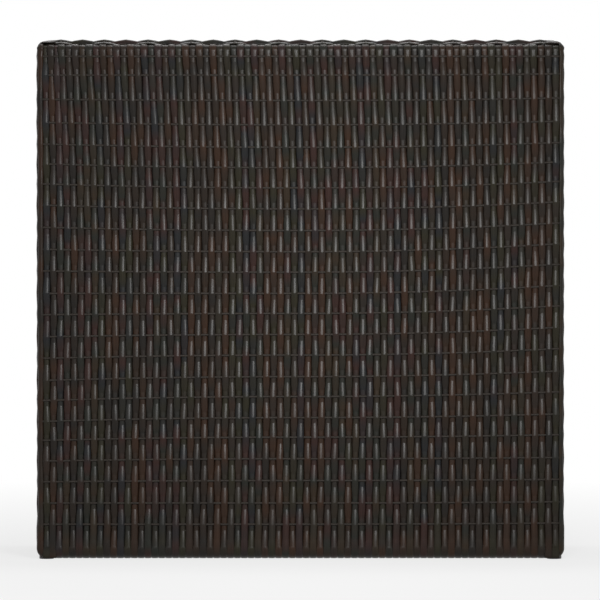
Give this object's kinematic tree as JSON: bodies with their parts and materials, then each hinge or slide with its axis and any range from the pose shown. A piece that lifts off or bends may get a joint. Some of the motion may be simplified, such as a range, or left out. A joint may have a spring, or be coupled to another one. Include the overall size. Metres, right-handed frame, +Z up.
{
  "type": "bar table",
  "caption": "Upright garden bar table: dark woven rattan front, sides and top on a tube frame, open at the back over slatted shelves, with levelling feet.",
  "frame": {"origin": "on the floor under the middle of the table", "axes": "+Z up, the closed woven front faces -Y, the open serving side faces +Y, +X to the right seen from the front"},
  "size_m": [1.08, 0.5, 1.054],
  "materials": {
    "rattan_strand": "semi-gloss extruded resin strand, mottled dark brown",
    "rib_wire": "dark coated wire",
    "frame_coat": "fine-textured powder coat",
    "corner_casting": "powder-coated casting",
    "slat_coat": "fine-textured powder coat",
    "slat_cap": "moulded",
    "shelf_screw": "stainless",
    "rivet": "bare blind rivet",
    "pad_nylon": "moulded nylon",
    "stud_steel": "zinc plated"
  },
  "bodies": {
    "table": {"frame_rivets": "rivet", "front_stile_left": "frame_coat", "front_stile_right": "frame_coat", "front_weave": "rattan_strand", "left_weave": "rattan_strand", "lower_corner_front_left": "corner_casting", "lower_corner_front_right": "corner_casting", "lower_corner_rear_left": "corner_casting", "lower_corner_rear_right": "corner_casting", "lower_rail_front": "frame_coat", "lower_rail_left": "frame_coat", "lower_rail_rear": "frame_coat", "lower_rail_right": "frame_coat", "lower_shelf_bearer_left": "frame_coat", "lower_shelf_bearer_right": "frame_coat", "lower_shelf_caps": "slat_cap", "lower_shelf_screws": "shelf_screw", "lower_shelf_slats": "slat_coat", "post_front_left": "frame_coat", "post_front_right": "frame_coat", "post_rear_left": "frame_coat", "post_rear_right": "frame_coat", "rear_rail_weave": "rattan_strand", "right_weave": "rattan_strand", "top_corner_front_left": "corner_casting", "top_corner_front_right": "corner_casting", "top_corner_rear_left": "corner_casting", "top_corner_rear_right": "corner_casting", "top_cross_bar_left": "frame_coat", "top_cross_bar_right": "frame_coat", "top_rail_front": "frame_coat", "top_rail_left": "frame_coat", "top_rail_rear": "frame_coat", "top_rail_right": "frame_coat", "top_ribs": "rib_wire", "top_weave": "rattan_strand", "upper_shelf_bearer_left": "frame_coat", "upper_shelf_bearer_right": "frame_coat", "upper_shelf_caps": "slat_cap", "upper_shelf_screws": "shelf_screw", "upper_shelf_slats": "slat_coat", "wall_ribs": "rib_wire"},
    "foot_front_left": {"foot_pad_front_left": "pad_nylon", "foot_stud_front_left": "stud_steel"},
    "foot_front_right": {"foot_pad_front_right": "pad_nylon", "foot_stud_front_right": "stud_steel"},
    "foot_rear_left": {"foot_pad_rear_left": "pad_nylon", "foot_stud_rear_left": "stud_steel"},
    "foot_rear_right": {"foot_pad_rear_right": "pad_nylon", "foot_stud_rear_right": "stud_steel"}
  },
  "joints": [
    {"name": "foot_front_left_screw_out", "type": "slide", "parent": "table", "child": "foot_front_left", "axis": [0, 0, -1], "range_m": [0, 0.015]},
    {"name": "foot_front_right_screw_out", "type": "slide", "parent": "table", "child": "foot_front_right", "axis": [0, 0, -1], "range_m": [0, 0.015]},
    {"name": "foot_rear_left_screw_out", "type": "slide", "parent": "table", "child": "foot_rear_left", "axis": [0, 0, -1], "range_m": [0, 0.015]},
    {"name": "foot_rear_right_screw_out", "type": "slide", "parent": "table", "child": "foot_rear_right", "axis": [0, 0, -1], "range_m": [0, 0.015]}
  ]
}
